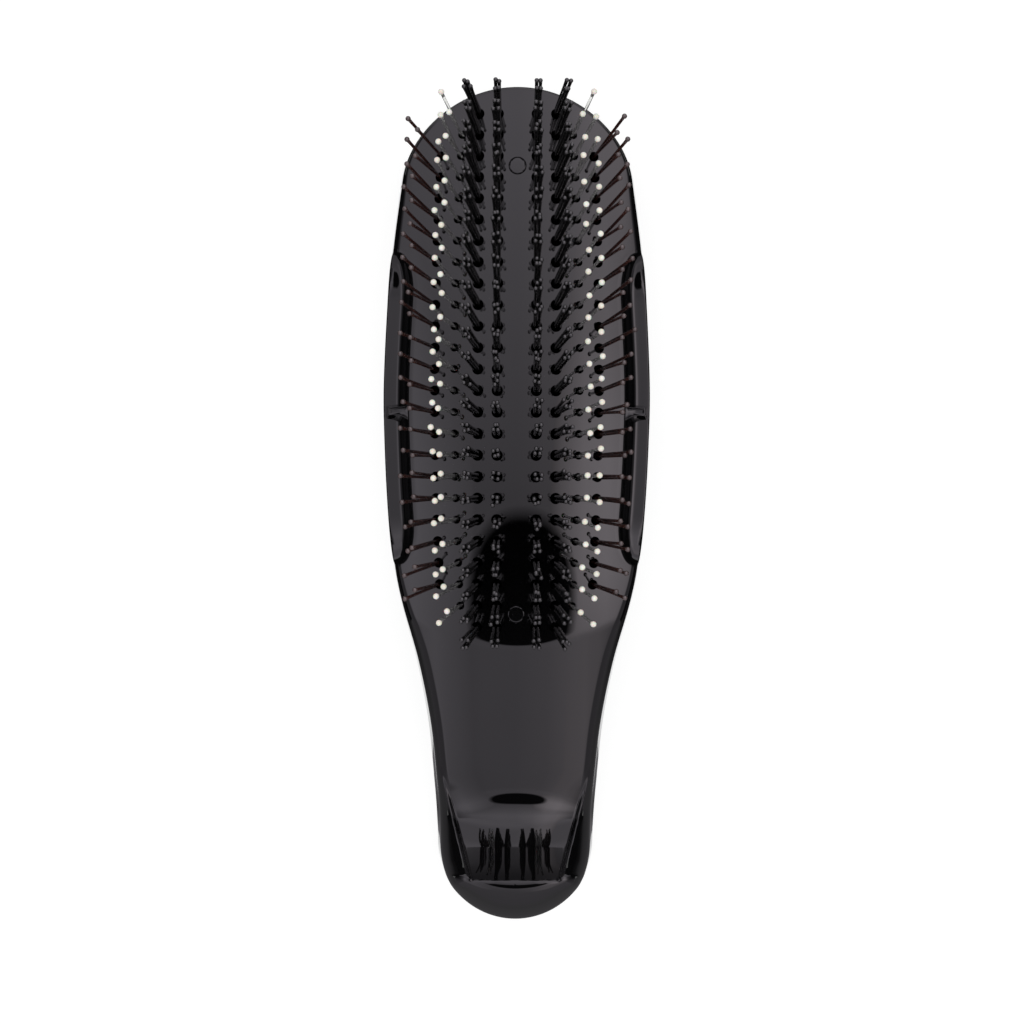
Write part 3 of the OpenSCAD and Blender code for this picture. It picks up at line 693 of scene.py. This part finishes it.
def clean_tree(owner):
    owner.use_nodes = True
    owner.node_tree.nodes.clear()
    return owner.node_tree.nodes, owner.node_tree.links


def material(name, build):
    mat = bpy.data.materials.new(name)
    nodes, links = clean_tree(mat)
    out = nodes.new("ShaderNodeOutputMaterial")
    shader = nodes.new("ShaderNodeBsdfPrincipled")
    links.new(shader.outputs["BSDF"], out.inputs["Surface"])
    build(nodes, links, shader)
    return mat


def noise(nodes, links, scale, detail=4.0, rough=0.5):
    where = nodes.new("ShaderNodeTexCoord")
    tex = nodes.new("ShaderNodeTexNoise")
    tex.inputs["Scale"].default_value = scale
    tex.inputs["Detail"].default_value = detail
    tex.inputs["Roughness"].default_value = rough
    links.new(where.outputs["Object"], tex.inputs["Vector"])
    return tex.outputs["Fac"]


def ramp(nodes, links, value, stops):
    node = nodes.new("ShaderNodeValToRGB")
    node.color_ramp.elements[0].position, node.color_ramp.elements[1].position = stops[0][0], stops[-1][0]
    node.color_ramp.elements[0].color, node.color_ramp.elements[1].color = stops[0][1], stops[-1][1]
    for at, colour in stops[1:-1]:
        node.color_ramp.elements.new(at).color = colour
    links.new(value, node.inputs["Fac"])
    return node.outputs["Color"]


def spread_value(nodes, links, value, low, high):
    node = nodes.new("ShaderNodeMapRange")
    node.inputs["To Min"].default_value, node.inputs["To Max"].default_value = low, high
    links.new(value, node.inputs["Value"])
    return node.outputs["Result"]


def relief(nodes, links, shader, height, depth, strength):
    node = nodes.new("ShaderNodeBump")
    node.inputs["Strength"].default_value = strength
    node.inputs["Distance"].default_value = depth
    links.new(height, node.inputs["Height"])
    links.new(node.outputs["Normal"], shader.inputs["Normal"])


# How much finer the marks of the roughness are than those of the colour, and how strong the relief is
ROUGH_FINER, RELIEF = 2.7, 0.35


def shaded(low, high, scale, rough, ior, depth, depth_scale):
    """Builds a finish whose colour, roughness and relief all vary a little."""
    def build(nodes, links, shader):
        colour = ramp(nodes, links, noise(nodes, links, scale), [(0.3, (*low, 1)), (0.7, (*high, 1))])
        links.new(colour, shader.inputs["Base Color"])
        marks = noise(nodes, links, scale * ROUGH_FINER, 6, 0.6)
        links.new(spread_value(nodes, links, marks, *rough), shader.inputs["Roughness"])
        shader.inputs["IOR"].default_value = ior
        relief(nodes, links, shader, noise(nodes, links, depth_scale, 3), depth, RELIEF)
    return build


def with_inputs(build, **values):
    """The same finish with more inputs set. An underscore stands for a space in an input's name."""
    def build_all(nodes, links, shader):
        build(nodes, links, shader)
        for name, value in values.items():
            shader.inputs[name.replace("_", " ")].default_value = value
    return build_all


FINISHES = {
    "gloss": material("gloss_black_plastic", shaded(
        (0.0014, 0.0014, 0.0016), (0.0024, 0.0023, 0.0026), scale=60, rough=(0.012, 0.035), ior=1.5,
        depth=0.0000012, depth_scale=420)),
    "back": material("gloss_black_plastic_back", shaded(
        (0.0040, 0.0040, 0.0045), (0.0056, 0.0055, 0.0060), scale=45, rough=(0.03, 0.075), ior=1.5,
        depth=0.000002, depth_scale=380)),
    "plug": material("gloss_black_plug", shaded(
        (0.0030, 0.0030, 0.0034), (0.0046, 0.0046, 0.0050), scale=150, rough=(0.03, 0.06), ior=1.5,
        depth=0.0000015, depth_scale=900)),
    "black": material("black_nylon", shaded(
        (0.0030, 0.0029, 0.0031), (0.0065, 0.0063, 0.0066), scale=300, rough=(0.05, 0.13), ior=1.42,
        depth=0.000004, depth_scale=1800)),
    "brown": material("brown_nylon", shaded(
        (0.020, 0.0075, 0.0065), (0.044, 0.0165, 0.0135), scale=260, rough=(0.05, 0.12), ior=1.56,
        depth=0.000004, depth_scale=1800)),
    # A lighter copy of the black nylon for the pins' balls, as painted highlight
    "black_tip_painted_highlight": material("black_nylon_tips_painted_highlight", shaded(
        (0.006, 0.0058, 0.006), (0.012, 0.0115, 0.012), scale=300, rough=(0.06, 0.14), ior=1.72,
        depth=0.000004, depth_scale=1800)),
    # A lighter, pinkish grey copy of the brown nylon for the pins' balls, as painted highlight
    "brown_tip_painted_highlight": material("brown_nylon_tips_painted_highlight", shaded(
        (0.040, 0.026, 0.026), (0.075, 0.052, 0.050), scale=260, rough=(0.1, 0.2), ior=1.7,
        depth=0.000004, depth_scale=1800)),
    "clear": material("clear_nylon", with_inputs(shaded(
        (0.86, 0.87, 0.84), (0.97, 0.97, 0.95), scale=600, rough=(0.04, 0.12), ior=1.53,
        depth=0.000004, depth_scale=2500), Transmission_Weight=0.93)),
    "cream": material("cream_nylon", with_inputs(shaded(
        (0.80, 0.77, 0.67), (0.93, 0.91, 0.84), scale=420, rough=(0.25, 0.4), ior=1.5,
        depth=0.000006, depth_scale=2200), Subsurface_Weight=0.25, Subsurface_Scale=0.0006)),
    "steel": material("screw_steel", with_inputs(shaded(
        (0.50, 0.49, 0.47), (0.66, 0.65, 0.63), scale=900, rough=(0.22, 0.4), ior=2.5,
        depth=0.00001, depth_scale=3000), Metallic=1.0)),
}
SLOTS = {"black": "pin_black", "black_tip_painted_highlight": "pin_black", "clear": "pin_clear", "cream": "pin_clear",
         "brown": "pin_brown", "brown_tip_painted_highlight": "pin_brown"}


def finish_piece(ob, finish, slot, *nodes):
    ob.data.materials.clear()
    ob.data.materials.append(FINISHES[finish])
    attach(ob, "root")
    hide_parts(*nodes)


finish_piece(front, "gloss", "shell_black", "front_shell")
finish_piece(ribs, "gloss", "shell_black", "front_shell")
finish_piece(back, "back", "shell_black", "back_shell")
finish_piece(plugs, "plug", "plug_black", "screw_plugs")
for ob, node, finish in pin_pieces:
    finish_piece(ob, finish, SLOTS[finish], node)
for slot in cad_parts["shell_screws"].material_slots:
    slot.material = FINISHES["steel"]


# Floor, world, cards and camera

def switch_rays(nodes, links, *names):
    """1 for a ray of any of the named kinds."""
    path = nodes.new("ShaderNodeLightPath")
    total = None
    for name in names:
        if total is None:
            total = path.outputs[name]
            continue
        add = nodes.new("ShaderNodeMath")
        add.operation, add.use_clamp = "ADD", True
        links.new(total, add.inputs[0])
        links.new(path.outputs[name], add.inputs[1])
        total = add.outputs[0]
    return total


FLOOR_HALF = 2.0
CAMERA_WHITE = 0.84

floor = new_mesh_object("floor", [(x * FLOOR_HALF, y * FLOOR_HALF, 0) for x, y in (
    (-1, -1), (1, -1), (1, 1), (-1, 1))], [[0, 1, 2, 3]], False)
paper = bpy.data.materials.new("white_paper")
nodes, links = clean_tree(paper)
sheet = nodes.new("ShaderNodeBsdfDiffuse")
paper_tone = ramp(nodes, links, noise(nodes, links, 9),
                  [(0.2, (0.24, 0.24, 0.24, 1)), (0.8, (0.25, 0.25, 0.25, 1))])
links.new(paper_tone, sheet.inputs["Color"])
glow = nodes.new("ShaderNodeEmission")
glow.inputs["Color"].default_value = (1, 1, 1, 1)
level = nodes.new("ShaderNodeMath")
level.operation = "MULTIPLY"
level.inputs[1].default_value = CAMERA_WHITE
seen = switch_rays(nodes, links, "Is Camera Ray", "Is Glossy Ray", "Is Transmission Ray")
links.new(seen, level.inputs[0])
links.new(level.outputs[0], glow.inputs["Strength"])
both = nodes.new("ShaderNodeAddShader")
links.new(sheet.outputs[0], both.inputs[0])
links.new(glow.outputs[0], both.inputs[1])
out = nodes.new("ShaderNodeOutputMaterial")
links.new(both.outputs[0], out.inputs["Surface"])
floor.data.materials.append(paper)

# The world: white light on everything, and for reflections a set of soft lights on a dark ground
world = bpy.data.worlds.new("studio")
bpy.context.scene.world = world
nodes, links = clean_tree(world)
direction = nodes.new("ShaderNodeTexCoord")
parts = nodes.new("ShaderNodeSeparateXYZ")
links.new(direction.outputs["Generated"], parts.inputs[0])
to_right, to_head, to_top = parts.outputs["X"], parts.outputs["Y"], parts.outputs["Z"]
flip = nodes.new("ShaderNodeMath")
flip.operation = "MULTIPLY"
flip.inputs[1].default_value = -1.0
links.new(to_head, flip.inputs[0])
to_tail = flip.outputs[0]


def grey(v, warm=0.0):
    return (v * (1 + warm), v * 0.97, v * (1.02 - warm), 1)


def levels_over(value, reach, stops):
    """Greys over a value from -reach to reach. The stops' places are from 0 to 1."""
    node = nodes.new("ShaderNodeMapRange")
    node.inputs["From Min"].default_value, node.inputs["From Max"].default_value = -reach, reach
    links.new(value, node.inputs["Value"])
    return ramp(nodes, links, node.outputs["Result"], stops)


def by_angle(towards, base, *stops):
    """Levels by the angle from base towards another direction: (degrees, level) or with warmth."""
    angle = nodes.new("ShaderNodeMath")
    angle.operation = "ARCTAN2"
    links.new(towards, angle.inputs[0])
    links.new(base, angle.inputs[1])
    return levels_over(angle.outputs[0], math.pi / 2, [((a + 90) / 180, grey(*tint)) for a, *tint in stops])


def by_height(part, *stops):
    """Levels by one part of the direction, from -1 to 1."""
    return levels_over(part, 1.0, [((a + 1) / 2, grey(v)) for a, v in stops])


def blend(kind, a, b):
    node = nodes.new("ShaderNodeMix")
    node.data_type, node.blend_type = "RGBA", kind
    node.inputs[0].default_value = 1.0
    links.new(a, node.inputs[6])
    links.new(b, node.inputs[7])
    return node.outputs[2]


LIGHTS = [
    # Long and soft, overhead
    (by_angle(to_head, to_top, (-90, 0), (-64, 0), (-50, 0.8), (-34, 0.88), (-30, 1.02), (-2, 0.86),
              (8, 1.1), (28, 1.62), (44, 1.5), (56, 1.2), (78, 1.15), (90, 1.4)),
     by_angle(to_right, to_top, (-90, 0), (-72, 0.05), (-58, 0.2), (-44, 0.45), (-33, 0.88), (-20, 0.95),
              (-13, 0.99), (0, 0.97), (13, 1.12, 0.01), (25, 1.5, 0.02), (33, 1.45, 0.03), (44, 0.6),
              (58, 0.2), (72, 0.05), (90, 0))),
    # Bright and a little warm, along the right
    (by_angle(to_head, to_top, (-90, 0), (-60, 0), (-46, 1.3, 0.03), (-30, 1.45, 0.03), (-12, 2.9, 0.03),
              (2, 2.9, 0.03), (12, 2.3, 0.03), (24, 2.2, 0.02), (40, 1.8), (60, 0), (90, 0)),
     by_angle(to_right, to_top, (-90, 0), (6, 0), (14, 0.55), (21, 0.9), (28, 1), (35, 0.8), (46, 0.25),
              (60, 0), (90, 0))),
    # Along the left
    (by_angle(to_head, to_top, (-90, 0), (-60, 0), (-46, 1.2), (-30, 1.4), (-12, 1.75), (0, 1.72),
              (11, 1.5), (19, 1.3), (32, 1.2), (50, 0), (90, 0)),
     by_angle(to_right, to_top, (-90, 0), (-64, 0.05), (-46, 0.4), (-37, 0.95), (-32, 1), (-27, 0.86),
              (-21, 0.73), (-14, 0.58), (-6, 0), (90, 0))),
    # Low, beyond the tail
    (by_angle(to_top, to_tail, (-90, 0.5), (0, 0.55), (25, 0.72), (45, 0.8), (58, 0), (90, 0)),
     by_angle(to_right, to_tail, (-90, 0), (-80, 0), (-66, 0.25), (-52, 0.6), (-40, 1), (40, 1), (52, 0.6),
              (66, 0.25), (80, 0), (90, 0))),
    # Low, beyond the head
    (by_angle(to_top, to_head, (-90, 0), (-1, 0), (0, 1.5), (10, 1.1), (26, 1.15), (38, 1.5), (48, 1.5),
              (62, 0), (90, 0)),
     by_angle(to_right, to_head, (-90, 0), (-50, 0), (-40, 1), (40, 1), (50, 0), (90, 0))),
    # Dim, all round the tail end, for the slopes beside the scoop
    (by_height(to_top, (-1, 0), (-0.02, 0), (0, 1), (0.7, 1), (0.85, 0), (1, 0)),
     by_height(to_head, (-1, 0.5), (-0.6, 0.5), (-0.15, 0.36), (0.04, 0.1), (0.2, 0), (1, 0))),
]
mixed = None
for one_way, other_way in LIGHTS:
    light = blend("MULTIPLY", one_way, other_way)
    mixed = light if mixed is None else blend("LIGHTEN", mixed, light)
choose = nodes.new("ShaderNodeMix")
choose.data_type = "RGBA"
links.new(switch_rays(nodes, links, "Is Glossy Ray"), choose.inputs[0])
choose.inputs[6].default_value = (1, 1, 1, 1)
links.new(mixed, choose.inputs[7])
sky = nodes.new("ShaderNodeBackground")
sky.inputs["Strength"].default_value = 1.0
links.new(choose.outputs[2], sky.inputs["Color"])
out = nodes.new("ShaderNodeOutputWorld")
links.new(sky.outputs[0], out.inputs["Surface"])


def glossy_only(ob):
    ob.visible_camera = ob.visible_diffuse = ob.visible_transmission = False
    ob.visible_shadow = ob.visible_volume_scatter = False


def emitter(name, level):
    mat = bpy.data.materials.new(name)
    nodes, links = clean_tree(mat)
    emit = nodes.new("ShaderNodeEmission")
    emit.inputs["Color"].default_value = level
    last = nodes.new("ShaderNodeOutputMaterial")
    links.new(emit.outputs[0], last.inputs["Surface"])
    return mat, nodes, links, emit, last


# A dark card as high as the camera and well off it towards the tail, seen in the face and in the scoop.
# Its place and size were fitted to how dark the gloss is there. It fades out at its edges.
CARD_X, CARD_Y, CARD_Z, CARD_SPAN, CARD_HALF = 26.0, -226.0, 773.0, (232.0, 170.0), (300, 220)
CARD_POWER, CARD_FADE = 2.3, (0.40, 0.62)
camera_card = new_mesh_object("camera_card", [
    ((CARD_X + x * CARD_HALF[0]) * MM, (CARD_Y + y * CARD_HALF[1]) * MM, CARD_Z * MM)
    for x, y in ((-1, -1), (1, -1), (1, 1), (-1, 1))], [[0, 1, 2, 3]], False)
mat, card_nodes, card_links, emit, last = emitter("camera_card", (0, 0, 0, 1))
spot = card_nodes.new("ShaderNodeTexCoord")
xyz = card_nodes.new("ShaderNodeSeparateXYZ")
card_links.new(spot.outputs["Object"], xyz.inputs[0])


def card_math(kind, a, b):
    node = card_nodes.new("ShaderNodeMath")
    node.operation = kind
    for socket, value in zip(node.inputs, (a, b)):
        if isinstance(value, (int, float)):
            socket.default_value = value
        else:
            card_links.new(value, socket)
    return node.outputs[0]


def card_share(socket, middle, span):
    """How far out a place is, to a high power, so that the dark place is a rounded rectangle."""
    away = card_math("DIVIDE", card_math("SUBTRACT", socket, middle * MM), span * MM)
    return card_math("POWER", card_math("ABSOLUTE", away, 0.0), CARD_POWER)


reach = card_math("ADD", card_share(xyz.outputs["X"], CARD_X, CARD_SPAN[0]),
                  card_share(xyz.outputs["Y"], CARD_Y, CARD_SPAN[1]))
fade = ramp(card_nodes, card_links, card_math("MULTIPLY", reach, 0.5),
            [(CARD_FADE[0], (0, 0, 0, 1)), (CARD_FADE[1], (1, 1, 1, 1))])
see = card_nodes.new("ShaderNodeBsdfTransparent")
part = card_nodes.new("ShaderNodeMixShader")
card_links.new(fade, part.inputs[0])
card_links.new(emit.outputs[0], part.inputs[1])
card_links.new(see.outputs[0], part.inputs[2])
card_links.new(part.outputs[0], last.inputs["Surface"])
camera_card.data.materials.append(mat)
glossy_only(camera_card)


# The floor as the body reflects it: grey beyond the tail, dark beside the body, grey past the head.
# Each stop is (place along the outline, levels near, middling and far, reach).
FLOOR_STOPS = np.array([
    (0.0, 0.13, 0.3, 0.5, 1900.0), (0.35, 0.13, 0.3, 0.5, 1900.0), (0.7, 0.2, 0.3, 0.4, 1500.0),
    (1.0, 0.24, 0.32, 0.36, 500.0), (1.12, 0.2, 0.26, 0.3, 200.0), (1.3, 0.05, 0.06, 0.08, 20.0),
    (1.45, 0.015, 0.015, 0.015, 1.0), (2.1, 0.015, 0.015, 0.015, 1.0), (2.45, 0.12, 0.2, 0.3, 1.0),
    (2.7, 0.3, 0.35, 0.4, 1.0), (3.0, 0.3, 0.35, 0.4, 1.0)])
# How far out from the body the floor's levels change, in mm, and the height of these strips. The far
# edges move out further by the stops' reach. A dark fence stands upright beside the body.
FLOOR_NEAR, FLOOR_NEAR_END, FLOOR_MID = 1.5, 8.0, 30.0
FLOOR_FAR, FLOOR_FAR_START, FLOOR_END = 60.0, 61.0, 62.0
FLOOR_Z, REACH_START, STRIP_POINTS = 1.2, 0.1, 121
FENCE_AWAY, FENCE_TOP, FENCE_LEVEL = 62.0, 27.0, 0.012


def low_card(name, start, end, edges):
    """A strip along both sides of the body, seen only in reflections. edges are (away, level, height),
    each worked on the places along the outline."""
    u = np.linspace(start, end, STRIP_POINTS)
    points, levels, n = [], [], len(u)
    for away, level, z in edges(u):
        x, y = place(u, -away)
        points += [(side * a * MM, b * MM, z * MM) for side in (1, -1) for a, b in zip(x, y)]
        levels += list(level) * 2
    faces = [[r * 2 * n + i, r * 2 * n + i + 1, (r + 1) * 2 * n + i + 1, (r + 1) * 2 * n + i]
             for r in range(len(points) // (2 * n) - 1) for i in range(2 * n - 1) if i != n - 1]
    ob = new_mesh_object(name, points, faces, False)
    colours = ob.data.color_attributes.new("level", "FLOAT_COLOR", "POINT")
    colours.data.foreach_set("color", [c for v in levels for c in grey(v)])
    mat, nodes, links, emit, last = emitter(name, grey(0))
    shade = nodes.new("ShaderNodeVertexColor")
    shade.layer_name = "level"
    links.new(shade.outputs["Color"], emit.inputs["Color"])
    ob.data.materials.append(mat)
    glossy_only(ob)


def floor_edges(u):
    near, mid, far, reach = (np.interp(u, FLOOR_STOPS[:, 0], FLOOR_STOPS[:, k]) for k in (1, 2, 3, 4))
    one = np.ones_like(u)
    return [(FLOOR_NEAR * one, near, FLOOR_Z), (FLOOR_NEAR_END * one, near, FLOOR_Z),
            (FLOOR_MID * one, mid, FLOOR_Z), (FLOOR_FAR * one, (mid + far) / 2, FLOOR_Z),
            (FLOOR_FAR_START + REACH_START * reach, far, FLOOR_Z), (FLOOR_END + reach, far, FLOOR_Z)]


def fence_edges(u):
    dark = FENCE_LEVEL * np.ones_like(u)
    return [(FENCE_AWAY, dark, FLOOR_Z), (FENCE_AWAY, dark, FENCE_TOP)]


low_card("low_floor", 0.0, 3.0, floor_edges)
low_card("side_fence", 1.2, 2.1, fence_edges)

CAM_PLACE, CAM_TURN_DEG = (-0.00091, -0.0020, 0.807), 0.2
CAM_LENS, CAM_SENSOR, CAM_NEAR = 133.07, 36, 0.05
cam_data = bpy.data.cameras.new("camera")
cam = bpy.data.objects.new("camera", cam_data)
bpy.context.scene.collection.objects.link(cam)
cam.location = CAM_PLACE
cam.rotation_euler = (0, 0, math.radians(CAM_TURN_DEG))
cam_data.sensor_width, cam_data.lens, cam_data.clip_start = CAM_SENSOR, CAM_LENS, CAM_NEAR
bpy.context.scene.camera = cam

bpy.context.scene.view_settings.view_transform = "Standard"
